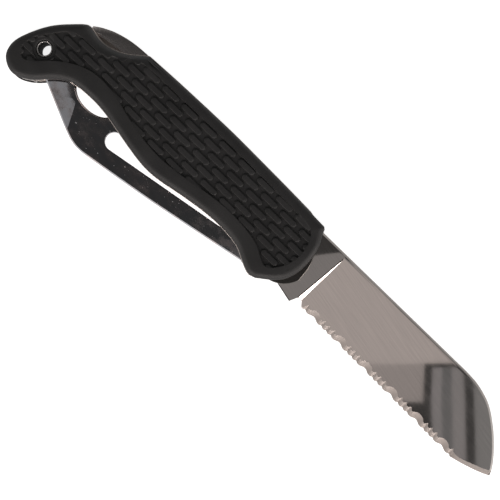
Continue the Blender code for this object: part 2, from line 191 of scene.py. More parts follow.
def distance(path, x, y):
    """Distance of each place to an open run of points."""
    nearest = np.full(np.shape(x), 1e9)
    for (ax, ay), (bx, by) in zip(path[:-1], path[1:]):
        dx, dy = bx - ax, by - ay
        along = np.clip(((x - ax) * dx + (y - ay) * dy) / max(dx * dx + dy * dy, 1e-12), 0, 1)
        nearest = np.minimum(nearest, (x - ax - along * dx) ** 2 + (y - ay - along * dy) ** 2)
    return np.sqrt(nearest)


def from_edges(loops, x, y):
    """Distance of each place to the nearest of some closed loops."""
    return np.min([distance(closed(loop), x, y) for loop in loops], axis=0)


def inside(loops, x, y):
    """True for each place that an odd number of loops encloses."""
    odd = np.zeros(np.shape(x), bool)
    for loop in loops:
        for (ax, ay), (bx, by) in zip(loop, loop[1:] + loop[:1]):
            if ay != by:
                crosses = (ay > y) != (by > y)
                odd ^= crosses & (x < (bx - ax) * (y - ay) / (by - ay) + ax)
    return odd


def depth_in(loop, x, y):
    """Distance to a closed loop, positive inside it."""
    away = distance(closed(loop), x, y)
    return np.where(inside([loop], x, y), away, -away)


def level_lines(values, level, corner, step):
    """Closed lines on which values, sampled on a square grid, pass through a level."""
    above = values > level
    case = above[:-1, :-1] * 1 + above[1:, :-1] * 2 + above[1:, 1:] * 4 + above[:-1, 1:] * 8
    # The sides of a cell, bottom, top, left or right, by which a line enters and leaves it.
    sides = {1: "BL", 2: "RB", 3: "RL", 4: "TR", 5: "BLTR", 6: "TB", 7: "TL", 8: "LT", 9: "BT",
             10: "RBLT", 11: "RT", 12: "LR", 13: "BR", 14: "LB"}
    following = {}
    for i, j in zip(*np.nonzero((case > 0) & (case < 15))):
        edge = {"B": (i, j, 0), "T": (i, j + 1, 0), "L": (i, j, 1), "R": (i + 1, j, 1)}
        letters = sides[int(case[i, j])]
        for start, end in zip(letters[::2], letters[1::2]):
            following[edge[start]] = edge[end]

    def spot(i, j, upright):
        a = values[i, j]
        b = values[i, j + 1] if upright else values[i + 1, j]
        share = (level - a) / (b - a)
        return (corner[0] + (i + (0 if upright else share)) * step,
                corner[1] + (j + (share if upright else 0)) * step)

    lines = []
    while following:
        start, here = following.popitem()
        line = [spot(*start)]
        while here != start and here in following:
            line.append(spot(*here))
            here = following.pop(here)
        lines.append(simplified(line))
    return [line for line in lines if len(line) > 3]


def simplified(line, tolerance=0.006):
    """A closed line with the points left out that lie nearly on a straight run."""
    points = np.array(line)
    far = int(np.argmax(np.hypot(*(points - points[0]).T)))
    kept = {0, far}
    ring = np.vstack([points, points[:1]])
    spans = [(0, far), (far, len(points))]
    while spans:
        first, last = spans.pop()
        if last - first < 2:
            continue
        run = ring[last] - ring[first]
        between = ring[first + 1:last] - ring[first]
        off = np.abs(run[0] * between[:, 1] - run[1] * between[:, 0]) / max(np.hypot(*run), 1e-9)
        worst = int(np.argmax(off))
        if off[worst] > tolerance:
            middle = first + 1 + worst
            kept.add(middle)
            spans += [(first, middle), (middle, last)]
    return [tuple(points[index]) for index in sorted(kept)]


def grid_over(loop, step):
    """Lower corner, X and Y of a square grid that covers a loop with a margin round it."""
    points = np.array(loop)
    low, high = points.min(0) - 0.6, points.max(0) + 0.6
    x = np.arange(low[0], high[0], step)
    y = np.arange(low[1], high[1], step)
    return tuple(low), *np.meshgrid(x, y, indexing="ij")


# -------------------- meshes

def triangulated(loops, guides):
    """Triangles that fill the loops and keep every loop and guide as edges."""
    points, edges = [], []
    for path in [closed(loop) for loop in loops] + list(guides):
        first = len(points)
        ring = math.dist(path[0], path[-1]) < 1e-6
        kept = path[:-1] if ring else path
        points += [Vector(point) for point in kept]
        edges += [(first + index, first + index + 1) for index in range(len(kept) - 1)]
        if ring:
            edges.append((first + len(kept) - 1, first))
    found, _, faces, _, _, _ = delaunay_2d_cdt(points, edges, [], 0, 1e-4)
    spots = np.array([point[:] for point in found])
    faces = np.array(faces)
    middle = spots[faces].mean(1)
    return spots, faces[inside(loops, middle[:, 0], middle[:, 1])]


def solid(name, loops, top, bottom, guides, bottom_guides=None, creases=()):
    """Closed body between two height functions over an outline and its holes.

    The triangles' edges follow the guides. Without bottom guides the underside has the same
    triangles as the top. Edges along a crease are shaded sharp.
    """
    points, faces = [], []

    def add_cover(spots, triangles, height, up):
        first = sum(len(part) for part in points)
        points.append(np.column_stack([spots, height(spots[:, 0], spots[:, 1])]))
        faces.extend((triangles if up else triangles[:, ::-1]) + first)
        return first

    spots, triangles = triangulated(loops, guides)
    first_top = add_cover(spots, triangles, top, True)
    if bottom_guides is not None:
        lower, lower_triangles = triangulated(loops, bottom_guides)
        add_cover(lower, lower_triangles, bottom, False)
        first_bottom = sum(len(part) for part in points)
        points.append(np.column_stack([spots, bottom(spots[:, 0], spots[:, 1])]))
    else:
        first_bottom = add_cover(spots, triangles, bottom, False)
    directed = {(int(a), int(b)) for face in triangles for a, b in zip(face, np.roll(face, -1))}
    for a, b in directed:
        if (b, a) not in directed:
            faces.append((first_bottom + a, first_bottom + b, first_top + b, first_top + a))
    body = mesh_object(name, np.vstack(points), faces)
    for crease in creases:
        mark_crease(body.data, crease)
    return body


def mark_crease(mesh, path):
    """Shade the edges sharp whose ends and middle lie on a path."""
    spots = np.array([vertex.co[:2] for vertex in mesh.vertices]) / MM
    ends = np.array([edge.vertices[:] for edge in mesh.edges])
    on_path = distance(path, spots[:, 0], spots[:, 1]) < ON_PATH
    found = np.nonzero(on_path[ends].all(1))[0]
    middle = spots[ends[found]].mean(1)
    for index in found[distance(path, middle[:, 0], middle[:, 1]) < ON_PATH]:
        mesh.edges[index].use_edge_sharp = True


def mesh_object(name, points, faces):
    """A welded, shaded mesh object from points in millimetres."""
    mesh = bpy.data.meshes.new(name)
    mesh.from_pydata((points * MM).tolist(), [], [list(map(int, face)) for face in faces])
    result = new_object(name, mesh)
    weld(mesh)
    mesh.shade_smooth()
    mesh.set_sharp_from_angle(angle=SHARP)
    shade_evenly(result)
    return result


def new_object(name, data):
    result = bpy.data.objects.new(name, data)
    bpy.context.scene.collection.objects.link(result)
    return result


def shade_evenly(piece):
    even = piece.modifiers.new("even_shading", "WEIGHTED_NORMAL")
    even.keep_sharp = True


def weld(mesh):
    """Join the points that coincide and drop those that no face uses."""
    shape = bmesh.new()
    shape.from_mesh(mesh)
    bmesh.ops.remove_doubles(shape, verts=shape.verts, dist=0.0005 * MM)
    loose = [vertex for vertex in shape.verts if not vertex.link_faces]
    bmesh.ops.delete(shape, geom=loose, context="VERTS")
    shape.to_mesh(mesh)
    shape.free()


def turned(name, profile, centre, sides=72):
    """A closed profile of (radius, level) turned about an upright axis."""
    points, faces = [], []
    count = len(profile)
    for index in range(sides):
        angle = math.tau * index / sides
        for radius, level in profile:
            points.append((centre[0] + radius * math.cos(angle),
                           centre[1] + radius * math.sin(angle), level))
        here, there = index * count, (index + 1) % sides * count
        for row in range(count):
            after = (row + 1) % count
            faces.append((here + row, there + row, there + after, here + after))
    return mesh_object(name, np.array(points), faces)


def placed(piece, body, node):
    """The piece, riding on a body in place of a CAD node."""
    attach(piece, body)
    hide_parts(node)
    return piece


# -------------------- scales

# Border of the sunken field that holds the pads.
FIELD = [(-74, 10.5), (-70, 11.7), (-56, 12.1), (-36, 12.3), (-11, 11.8), (0, 11.1), (2.4, 9.2),
         (3.6, 6), (4, 3), (3.6, 0), (2.6, -2.7), (0.4, -5.8), (-1.7, -6.9), (-4.2, -6),
         (-8, -4), (-15, -2.7), (-22, -2.5), (-30, -3.3), (-39, -4.8), (-47, -5.5), (-55, -4.9),
         (-63, -3.2), (-71, -1.2), (-77, -0.8), (-82, -1.7), (-87, -4.1), (-91.5, -7.5),
         (-95.5, -11.4), (-98.2, -12.7), (-100.5, -11.4), (-101, -9), (-100, -5), (-97.4, -1.6),
         (-94.2, 2.5), (-91, 4.2), (-86, 4.6), (-82, 4.9), (-78.5, 7), (-74, 10.5)]
FIELD_DEPTH = 0.75
FIELD_WALL = 0.38
EDGE_ROUND = 1.75  # how far in from the outline the scale's edge is rounded
EDGE_FALL = 1.45
CROWN_REACH = 5.0  # the whole border falls gently over this much
CROWN_FALL = 0.4
PAD_ROW = 2.48
PAD_ROWS = 10
PAD_PITCH = 8.0
PAD_PLACES = range(-5, 12)  # places in a row, counted from the top pad
PAD_REACH = 0.15  # a pad is made if it reaches at least this far into the field
PAD_HALF_LENGTH = 3.3
PAD_HALF_WIDTH = 1.04
PAD_RISE = 0.55
PAD_ROUND = 0.34
TOP_PAD = (-74.3, 10.8)  # centre of a pad in the row next to the spine
HOLE_ROUND = 0.45
BOSS = 3.5  # plain floor round the lanyard hole
SCOOP_SPAN = (-90.0, -71.5)  # thumb scoop, along the spine
SCOOP_REACH = 3.0
SCOOP_FALL = 1.5
PINS = ("pivot_pin", "lock_bar_pin", "upper_butt_pin", "lower_butt_pin")
POCKET_DEPTH = 1.3
POCKET_ROOM = 0.2
POCKET_WALL = 0.03  # by which its wall leans in
BUTT_SAG = 0.3  # how far the left scale stands out below the butt


def pads(field):
    """Centres of the raised pads that reach into the field, in staggered rows."""
    centres = []
    samples = np.linspace(-PAD_HALF_LENGTH + 0.5, PAD_HALF_LENGTH - 0.5, 7)
    for row in range(PAD_ROWS):
        for place in PAD_PLACES:
            x = TOP_PAD[0] + PAD_PITCH * (place + 0.5 * (row % 2))
            y = TOP_PAD[1] - PAD_ROW * row
            reach = depth_in(field, x + samples, np.full(len(samples), y))
            if reach.max() > PAD_REACH:
                centres.append((x, y))
    return centres


def pad_depth(centres, hole, x, y):
    """Distance inside the nearest pad, negative outside; no pad reaches the hole's boss."""
    straight = PAD_HALF_LENGTH - PAD_HALF_WIDTH
    depth = np.full(np.shape(x), -1e3)
    for cx, cy in centres:
        across = np.maximum(np.abs(x - cx) - straight, 0)
        depth = np.maximum(depth, PAD_HALF_WIDTH - np.hypot(across, y - cy))
    return np.minimum(depth, np.hypot(x - hole[0], y - hole[1]) - BOSS)


def butt_sag(x, y):
    """How much lower the left scale's edge lies than the right one's, under the butt."""
    return float(BUTT_SAG * fade_in(x, -83, -88) * fade_in(x, -103, -96) * fade_in(y, -9, -13))


def scale_guides(outline, field, centres, hole, hole_radius):
    """Level lines of the edge, the border, the field's wall, the pads and the hole's lip."""
    corner, x, y = grid_over(outline, GRID)
    edge = depth_in(outline, x, y)
    guides = []
    for share in (0.03, 0.12, 0.28, 0.5, 0.75, 1.0):
        guides += level_lines(edge, EDGE_ROUND * share, corner, GRID)
    # Lines along the border, at shares of the way from the outline to the field.
    between = edge / np.maximum(edge - depth_in(field, x, y), 0.1)
    for share in (0.45, 0.7, 0.86):
        guides += level_lines(np.where(edge > 0, between, -1), share, corner, GRID)
    corner, x, y = grid_over(field, FINE_GRID)
    depth = depth_in(field, x, y)
    guides += [field]
    guides += level_lines(depth, FIELD_WALL, corner, FINE_GRID)
    raised = np.where(depth > -0.25, pad_depth(centres, hole, x, y), -1)
    for share in (0.0, 0.16, 0.4, 0.7, 1.0):
        guides += level_lines(raised, PAD_ROUND * share, corner, FINE_GRID)
    guides += [circle(hole, hole_radius + HOLE_ROUND * share) for share in (0.1, 0.3, 0.6, 1.0)]
    return [closed(line) for line in guides]


def make_scales():
    """The right scale, and the left one as its mirror image."""
    low, high = levels("right_scale")
    middle = (levels("left_scale")[0] + high) / 2
    loops = [refined(loop) for loop in cad_loops("right_scale")]
    outline = loops[0]
    hole = centre_of("lanyard_eyelet")
    hole_radius = math.sqrt(abs(area(loops[1])) / math.pi)
    loops[1] = circle(hole, hole_radius)[::-1]
    field = smooth(FIELD)[:-1][::-1]  # anticlockwise, like the outline
    centres = pads(field)
    scoop = [point for point in outline
             if SCOOP_SPAN[0] < point[0] < SCOOP_SPAN[1] and point[1] > 5]

    def height(x, y):
        """Level of the outer face: rounded border, sunken field, pads, scoop and hole."""
        edge = distance(closed(outline), x, y)
        slant = np.clip(1 - edge / EDGE_ROUND, 0, 1)
        border = high - EDGE_FALL * (1 - np.sqrt(1 - slant ** 2))
        border = border - CROWN_FALL * np.clip(1 - edge / CROWN_REACH, 0, 1) ** 2
        near = np.clip(1 - distance(scoop, x, y) / SCOOP_REACH, 0, 1)
        border = border - SCOOP_FALL * near ** 1.5
        depth = depth_in(field, x, y)
        floor = high - FIELD_DEPTH
        wall = np.clip(depth / FIELD_WALL, 0, 1)
        rise = np.clip(pad_depth(centres, hole, x, y) / PAD_ROUND, 0, 1)
        pad = floor + PAD_RISE * np.sin(rise * math.pi / 2)
        result = np.where(depth > 0, np.maximum(border * (1 - wall) + floor * wall, pad), border)
        result = np.where(depth > 0, np.minimum(result, np.maximum(border, floor)), result)
        lip = np.clip(1 - (np.hypot(x - hole[0], y - hole[1]) - hole_radius) / HOLE_ROUND, 0, 1)
        return result - HOLE_ROUND * (1 - np.sqrt(1 - lip ** 2))

    pockets = [(centre_of(pin), (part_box(pin)[1].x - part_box(pin)[0].x) / 2 / MM + POCKET_ROOM)
               for pin in PINS]

    def inner(x, y):
        """Level of the inner face, with a blind pocket over each pin's head."""
        lift = np.zeros(np.shape(x))
        for centre, radius in pockets:
            inwards = radius - np.hypot(x - centre[0], y - centre[1])
            lift = np.maximum(lift, POCKET_DEPTH * np.clip(inwards / POCKET_WALL, 0, 1))
        return low + lift

    inner_guides = [closed(circle(centre, radius - gap)) for centre, radius in pockets
                    for gap in (0, POCKET_WALL)]
    guides = scale_guides(outline, field, centres, hole, hole_radius)
    right = solid("right_scale_moulding", loops, height, inner, guides, inner_guides)
    placed(right, "handle", "right_scale")
    mesh = right.data.copy()
    for vertex in mesh.vertices:
        x, y, z = vertex.co / MM
        vertex.co = Vector((x, y - butt_sag(x, y), 2 * middle - z)) * MM
    mesh.flip_normals()
    left = new_object("left_scale_moulding", mesh)
    shade_evenly(left)
    placed(left, "handle", "left_scale")
    return [right, left]


# -------------------- liners, backspring, spacer

PLATE_CHAMFER_SLOPE = 0.8
FRONT_TUCK = 0.5  # how far the scales stand over the liners at the front
BUTT_TUCK = 0.45  # and below the butt


def liner_tuck(point):
    """How far the liners stay inside their CAD outline, where the scales stand over them."""
    front = fade_in(point[0], -3, 0)
    butt = fade_in(point[0], -81, -84) * fade_in(point[1], -6, -9)
    return float(FRONT_TUCK * front + BUTT_TUCK * butt)


def edged_plate(node, width, tuck=0):
    """A flat CAD plate again, with finer curves and its edges broken by a narrow chamfer."""
    low, high = levels(node)
    loops = [refined(loop) for loop in cad_loops(node)]
    loops[0] = inset(loops[0], tuck)
    guides = [closed(inset(loop, width)) for loop in loops]

    def drop(x, y):
        return np.maximum(0, width - from_edges(loops, x, y)) * PLATE_CHAMFER_SLOPE

    plate = solid(node + "_plate", loops, lambda x, y: high - drop(x, y),
                  lambda x, y: low + drop(x, y), guides)
    return placed(plate, "handle", node)


# -------------------- blade

GRIND_TOP = 11.6  # Y at which the grind starts, beside the plunge
GRIND_SLOPE = 0.0553
GRIND_CREST = 12.0  # and further ahead, close to the spine's chamfer
GRIND_RUNOUT = 4.0  # length over which it rises from one to the other
GRIND_ENDS = (72.5, 71.5)  # X at which both meet the spine's chamfer
PLUNGE_TOP = 14.3
PLUNGE_HEIGHT = 19.4  # from the top of the grind down to the heel
PLUNGE_LEAN = 0.104
PLUNGE_SLOPE = 0.85
LIP_WIDTH = 0.3  # softened border between the ricasso and the plunge
LIP_SLOPE = 0.13
HEEL_SPAN = (4.5, 14.0)  # the ricasso's lower edge, softened like the lip
HEEL_FADE = 0.8
SHOULDER = (-0.85, 12.8)  # rear end of the blade's back
SPINE_CHAMFER = 0.6
SPINE_CHAMFER_SLOPE = 0.62
TEETH = (15.3, 79.3)
TEETH_HEEL = -8.3
TEETH_DROP = 1.1  # how much lower the edge lies at the far end of the teeth
TOOTH_PITCH = 11.0
FIRST_SCALLOP = 20.0
SCALLOP = (2.2, 0.65)  # half width and depth
NOTCH = (0.8, 0.35)
NOTCH_OFFSETS = (-3.5, 3.5, 5.5)
BEVEL_HEEL = -6.85  # upper border of the teeth's bevel
BEVEL_DROP = 0.85  # how much lower it lies after the run
BEVEL_RUN = 63.0
SCALLOP_ARCH = (2.15, 1.0)  # half width and height by which it rises over a scallop
NOTCH_ARCH = (0.7, 0.9)
EDGE_LAND = 0.04  # thickness left at the cutting edge
HOLLOW = 0.01  # how far the ground bevel is hollowed
PLAIN_BEVEL = [(79.3, -7.75), (81, -7.75), (83, -7.25), (85, -6.5), (87, -5.75), (89, -5.0),
               (90.5, -4.15), (91.35, -3.6)]
NICK = (67.5, 9.7)  # nail nick, on the left side only
NICK_HALF = (6.0, 0.85)
NICK_DEPTH = 0.4


def from_scallop(x, offset):
    """Distance along the edge to the nearest place at this offset from a scallop."""
    phase = x - FIRST_SCALLOP - offset
    return np.abs((phase + TOOTH_PITCH / 2) % TOOTH_PITCH - TOOTH_PITCH / 2)


def toothed_edge(x):
    """Y of the cutting edge: broad scallops with three narrow notches between them."""
    line = TEETH_HEEL - TEETH_DROP * (x - TEETH[0]) / (TEETH[1] - TEETH[0])
    bites = [(0, SCALLOP)] + [(offset, NOTCH) for offset in NOTCH_OFFSETS]
    for offset, (half_width, depth) in bites:
        away = np.clip(from_scallop(x, offset) / half_width, 0, 1)
        line = line + depth * (0.5 + 0.5 * np.cos(math.pi * away))
    return line


def toothed_bevel(x):
    """Y where the ground bevel of the teeth meets the side of the blade."""
    line = BEVEL_HEEL - BEVEL_DROP * (np.maximum(x - TEETH[0], 0) / BEVEL_RUN) ** 1.4
    half_width, height = SCALLOP_ARCH
    line = line + height * (1 - np.clip(from_scallop(x, 0) / half_width, 0, 1) ** 2.6)
    half_width, height = NOTCH_ARCH
    for offset in NOTCH_OFFSETS:
        line = line + height * (1 - np.clip(from_scallop(x, offset) / half_width, 0, 1)) ** 1.15
    # It starts just over the edge at the heel and is at its own height 0.8 mm on.
    heel = np.clip((x - TEETH[0] + 0.1) / 0.9, 0, 1)
    return (TEETH_HEEL + 0.15) * (1 - heel) + line * heel


def blade_outline(outline):
    """The toothed stretch of the outline, the rest of it from there on, and the point."""
    foremost = max(range(len(outline)), key=lambda index: outline[index][0])
    outline = outline[foremost:] + outline[:foremost]
    x_teeth = np.arange(TEETH[0], TEETH[1], GRID)
    teeth = list(zip(x_teeth, toothed_edge(x_teeth)))
    rest = [point for point in refined(outline) if not (
        TEETH[0] - 0.01 < point[0] < TEETH[1] + 0.01 and point[1] < -7)]
    gap = max(range(len(rest)), key=lambda index: math.dist(rest[index - 1], rest[index]))
    return teeth, rest[gap:] + rest[:gap], outline[0]


def grind_creases():
    """Lines along which the faces of the ricasso, plunge, grind and spine meet."""
    lean = PLUNGE_LEAN * PLUNGE_HEIGHT
    bottom = GRIND_TOP - PLUNGE_HEIGHT
    foot = GRIND_SLOPE * PLUNGE_HEIGHT / PLUNGE_SLOPE
    lip = LIP_SLOPE * LIP_WIDTH / (PLUNGE_SLOPE - LIP_SLOPE)
    lip_end = GRIND_TOP - PLUNGE_SLOPE * lip / GRIND_SLOPE
    start = (PLUNGE_TOP - LIP_WIDTH, GRIND_TOP)
    lip_line = [start, (start[0] - lean, bottom)]
    plunge_top = [(PLUNGE_TOP + lip - PLUNGE_LEAN * (GRIND_TOP - lip_end), lip_end),
                  (PLUNGE_TOP + lip - lean, bottom)]
    plunge_foot = [start, plunge_top[0], (PLUNGE_TOP - lean + foot, bottom)]
    grind_top = [start, (GRIND_ENDS[0], GRIND_TOP)]
    crest_line = [(PLUNGE_TOP + GRIND_RUNOUT, GRIND_CREST), (GRIND_ENDS[1], GRIND_CREST)]
    return lip_line, plunge_top, plunge_foot, grind_top, crest_line


def make_blade():
    """Flat ground blade with a plunge, a toothed edge and a nail nick."""
    low, high = levels("main_blade")
    middle, half = (low + high) / 2, (high - low) / 2
    outline, *holes = cad_loops("main_blade")
    teeth, rest, tip = blade_outline(outline)
    plain = sorted(point for point in rest if point[0] > TEETH[1] and point[1] <= tip[1] + 0.001)
    plain_x, plain_y = np.array(plain).T
    bevel_x, bevel_y = np.array(smooth(PLAIN_BEVEL, 4)).T
    first = min(range(len(rest)), key=lambda index: math.dist(rest[index], tip))
    last = min(range(len(rest)), key=lambda index: math.dist(rest[index], SHOULDER))
    back = rest[first:last + 1]
    heel_edge = sorted(point for point in rest
                       if HEEL_SPAN[0] < point[0] < HEEL_SPAN[1] and point[1] < -6)
    heel_start, heel_end = heel_edge[0][0], heel_edge[-1][0]

    def heel_width(x):
        return LIP_WIDTH * np.clip(np.minimum(x - heel_start, heel_end - x) / HEEL_FADE, 0, 1)

    def edge_line(x):
        return np.where(x < TEETH[1], toothed_edge(x), np.interp(x, plain_x, plain_y))

    def bevel_line(x):
        return np.where(x < TEETH[1], toothed_bevel(x), np.interp(x, bevel_x, bevel_y))

    def flank(x, y):
        """Half thickness of the ground blade, without the bevel of the edge."""
        grind = half + (y - GRIND_TOP) * GRIND_SLOPE
        ahead = x - PLUNGE_TOP - PLUNGE_LEAN * (y - GRIND_TOP)
        plunge = half - np.maximum(PLUNGE_SLOPE * ahead, LIP_SLOPE * (ahead + LIP_WIDTH))
        chamfer = np.maximum(0, SPINE_CHAMFER - distance(back, x, y)) * SPINE_CHAMFER_SLOPE
        heel = np.maximum(0, heel_width(x) - distance(heel_edge, x, y)) * LIP_SLOPE
        crest = np.clip(grind - half, 0, (GRIND_CREST - GRIND_TOP) * GRIND_SLOPE)
        full = half + np.clip(ahead / GRIND_RUNOUT, 0, 1) * crest
        return np.minimum(full, np.maximum(grind, plunge)) - chamfer - heel

    def right_side(x, y):
        """Level of the right side; the edge is ground from this side only."""
        upper, lower = bevel_line(x), edge_line(x)
        below = np.clip((upper - y) / np.maximum(upper - lower, 0.02), 0, 1)
        below = np.where((x > TEETH[0] - 0.2) & (y < -3.0), below, 0)
        thick = flank(x, y) + flank(x, np.minimum(lower, y))
        hollow = HOLLOW * np.sin(math.pi * below)
        return middle + flank(x, y) - below * (thick - EDGE_LAND) - hollow

    def left_side(x, y):
        dx, dy = x - NICK[0], y - NICK[1]
        from_nick = (dx / NICK_HALF[0]) ** 2 + (dy / NICK_HALF[1]) ** 2
        return middle - flank(x, y) + NICK_DEPTH * np.clip(1 - from_nick, 0, 1)

    x_bevel = np.arange(TEETH[0], tip[0] - 0.25, GRID)
    upper, lower = bevel_line(x_bevel), edge_line(x_bevel)
    guides = [list(zip(x_bevel, upper + (lower - upper) * share))
              for share in (0.0, 0.2, 0.45, 0.75)]
    guides[0] = [point for point in guides[0] if point[0] < PLAIN_BEVEL[-1][0]]
    chamfer = inset(closed(back), SPINE_CHAMFER)[1:len(back) - 1]
    heel = inset(closed(heel_edge), lambda point: heel_width(point[0]))[:len(heel_edge)]
    creases = [guides[0], *grind_creases(), chamfer, heel]
    guides += creases[1:]
    for share in (0.25, 0.5, 0.75, 1.0):
        guides.append(closed(ellipse(NICK, (share * NICK_HALF[0], share * NICK_HALF[1]), 40)))
    loops = [teeth + rest, *map(refined, holes)]
    blade = solid("ground_blade", loops, right_side, left_side, guides, creases=creases)
    centre = np.array([face.center for face in blade.data.polygons]) / MM
    facing = np.array([face.normal.z for face in blade.data.polygons])
    bevel = (centre[:, 0] > TEETH[0] - 0.3) & (centre[:, 1] < bevel_line(centre[:, 0]))
    mark_faces(blade.data, "satin", bevel & (facing > 0.02))
    mark_faces(blade.data, "plain_bevel", bevel & (centre[:, 0] > TEETH[1]))
    return placed(blade, "blade", "main_blade")


def mark_faces(mesh, name, chosen):
    """A face attribute, for the material, that is 1 on the chosen faces."""
    mesh.attributes.new(name, "FLOAT", "FACE").data.foreach_set("value", chosen.astype(float))


# -------------------- key, lock bar, eyelet

KEY_CHAMFER = 0.42
KEY_TANG_CHAMFER = 0.12
KEY_CHAMFER_SLOPE = 0.85
HOLE_EDGE = 0.15
HOLE_EDGE_SLOPE = 2.0
# The driver end is thinned from the first line to the second.
KEY_TIP_LINE = [(-82.8, -3.4), (-80.9, -8.1), (-78, -11), (-76.3, -13.9), (-75.1, -16.4),
                (-74.0, -18.6), (-73.3, -20.2)]
KEY_TIP_END = [(-89.0, -7.2), (-90.9, -11.9)]
KEY_TIP_FALL = 0.68
KEY_TIP_BACK = [(-96, -20.2), (-96, -3.4)]  # beyond that end


def key_chamfer(x):
    """Width of the key's chamfer: narrow on the tang, full from there to the tip."""
    return KEY_TANG_CHAMFER + (KEY_CHAMFER - KEY_TANG_CHAMFER) * fade_in(x, -7, -9)


def make_key():
    """Flat key with its window, its bite and a driver end thinned from both sides."""
    low, high = levels("shackle_key")
    loops = [refined(loop) for loop in cad_loops("shackle_key")]
    outline = loops[0]
    tip_line = smooth(KEY_TIP_LINE, 6)
    tip_side = tip_line + KEY_TIP_BACK

    def edge_fall(x, y):
        near = np.maximum(0, key_chamfer(x) - distance(closed(outline), x, y))
        deepest = near * KEY_CHAMFER_SLOPE
        for hole in loops[1:]:
            near = np.maximum(0, HOLE_EDGE - distance(closed(hole), x, y))
            deepest = np.maximum(deepest, near * HOLE_EDGE_SLOPE)
        return deepest

    def ground(x, y):
        """How deep the thinned driver end lies below the side of the key."""
        after = np.where(inside([tip_side], x, y), distance(tip_line, x, y), 0)
        before = distance(KEY_TIP_END, x, y)
        share = after / np.maximum(after + before, 1e-6)
        return KEY_TIP_FALL * (1 - (1 - share) ** 1.7)

    def fall(x, y):
        return edge_fall(x, y) + ground(x, y)

    guides = [closed(inset(outline, lambda point: float(key_chamfer(point[0]))))]
    guides += [closed(inset(hole, HOLE_EDGE)) for hole in loops[1:]]
    end = [Vector(KEY_TIP_END[0]).lerp(Vector(KEY_TIP_END[1]), step / (len(tip_line) - 1))
           for step in range(len(tip_line))]
    for share in (0, 0.12, 0.25, 0.4, 0.55, 0.7, 0.85):
        guides.append([tuple(Vector(a).lerp(b, share)) for a, b in zip(tip_line, end)])
    key = solid("ground_key", loops, lambda x, y: high - fall(x, y),
                lambda x, y: low + fall(x, y), guides, creases=[tip_line, guides[0]])
    return placed(key, "key", "shackle_key")


LOCK_EDGE = 0.15
LOCK_BACK_EDGE = 0.25  # added to the chamfer's width along the back
LOCK_TAIL_EDGE = 0.95  # and along the tail's back
LOCK_CHAMFER_SLOPE = 0.27
LOCK_LEFT_FALL = 0.2  # the left side's chamfer goes no deeper


def make_lock_bar():
    """Flat bar whose tail has a wide chamfer along its back."""
    low, high = levels("lock_bar")
    loops = [refined(loop) for loop in cad_loops("lock_bar")]

    def width(x, y):
        tail = fade_in(x, -77.5, -87)
        line = 9.2 + 0.32 * (x + 89)  # slants along the tail, just under its back
        back = np.clip((y - line) / 0.4, 0, 1)
        return LOCK_EDGE + back * (LOCK_BACK_EDGE + LOCK_TAIL_EDGE * tail)

    def fall(x, y):
        return np.maximum(0, width(x, y) - from_edges(loops, x, y)) * LOCK_CHAMFER_SLOPE

    guides = [closed(inset(loop, lambda point: float(width(*point)))) for loop in loops]
    bar = solid("lock_bar_steel", loops, lambda x, y: high - fall(x, y),
                lambda x, y: low + np.minimum(fall(x, y), LOCK_LEFT_FALL), guides)
    return placed(bar, "lock", "lock_bar")


RIM_RADIUS = 2.56
TUBE_RADIUS = 2.33
BORE_RADIUS = 2.0
RIM_ROLL = 0.3  # height of the rim's round top


def make_eyelet():
    """Tube with both ends rolled over inside the lanyard hole."""
    low, high = levels("lanyard_eyelet")
    middle, half = (low + high) / 2, (high - low) / 2
    upper = [(TUBE_RADIUS, half - 1.0), (RIM_RADIUS - 0.04, half - 0.55)]
    for step in range(9):
        angle = math.pi * step / 8
        radius = (RIM_RADIUS + BORE_RADIUS) / 2 + (RIM_RADIUS - BORE_RADIUS) / 2 * math.cos(angle)
        upper.append((radius, half - RIM_ROLL + RIM_ROLL * math.sin(angle)))
    upper.append((BORE_RADIUS, half - 0.8))
    profile = [(radius, middle + level) for radius, level in upper]
    profile += [(radius, middle - level) for radius, level in reversed(upper)]
    return placed(turned("lanyard_eyelet_tube", profile, centre_of("lanyard_eyelet")),
                  "handle", "lanyard_eyelet")


# -------------------- materials

def set_inputs(node, inputs):
    """Give each input its value, or link it to the socket given for it."""
    for name, value in inputs.items():
        if isinstance(value, bpy.types.NodeSocket):
            node.id_data.links.new(value, node.inputs[name])
        else:
            node.inputs[name].default_value = value


def new_node(tree, kind, inputs, **settings):
    node = tree.nodes.new("ShaderNode" + kind)
    for name, value in settings.items():
        setattr(node, name, value)
    set_inputs(node, inputs)
    return node


def new_material(name):
    material = bpy.data.materials.new(name)
    material.use_nodes = True
    tree = material.node_tree
    tree.nodes.clear()
    shader = new_node(tree, "BsdfPrincipled", {})
    new_node(tree, "OutputMaterial", {"Surface": shader.outputs["BSDF"]})
    place = new_node(tree, "TexCoord", {}).outputs["Object"]
    return material, tree, shader, place


def noise(tree, place, stretch, detail=3.0, roughness=0.5, turn=0.0):
    """Noise whose grain is given as cycles per metre along X, Y and Z, turned about Z."""
    mapping = new_node(tree, "Mapping", {
        "Rotation": (0, 0, math.radians(turn)),
        "Scale": [1 / value for value in stretch],
        "Vector": place}, vector_type="TEXTURE")
    return new_node(tree, "TexNoise", {
        "Scale": 1.0, "Detail": detail, "Roughness": roughness,
        "Vector": mapping.outputs["Vector"]}).outputs["Fac"]


def ramp(tree, value, stops):
    """A value passed through (position, level) stops."""
    node = new_node(tree, "FloatCurve", {"Value": value})
    curve = node.mapping.curves[0]
    curve.points[0].location = stops[0]
    curve.points[-1].location = stops[-1]
    for stop in stops[1:-1]:
        curve.points.new(*stop)
    node.mapping.update()
    return node.outputs["Value"]


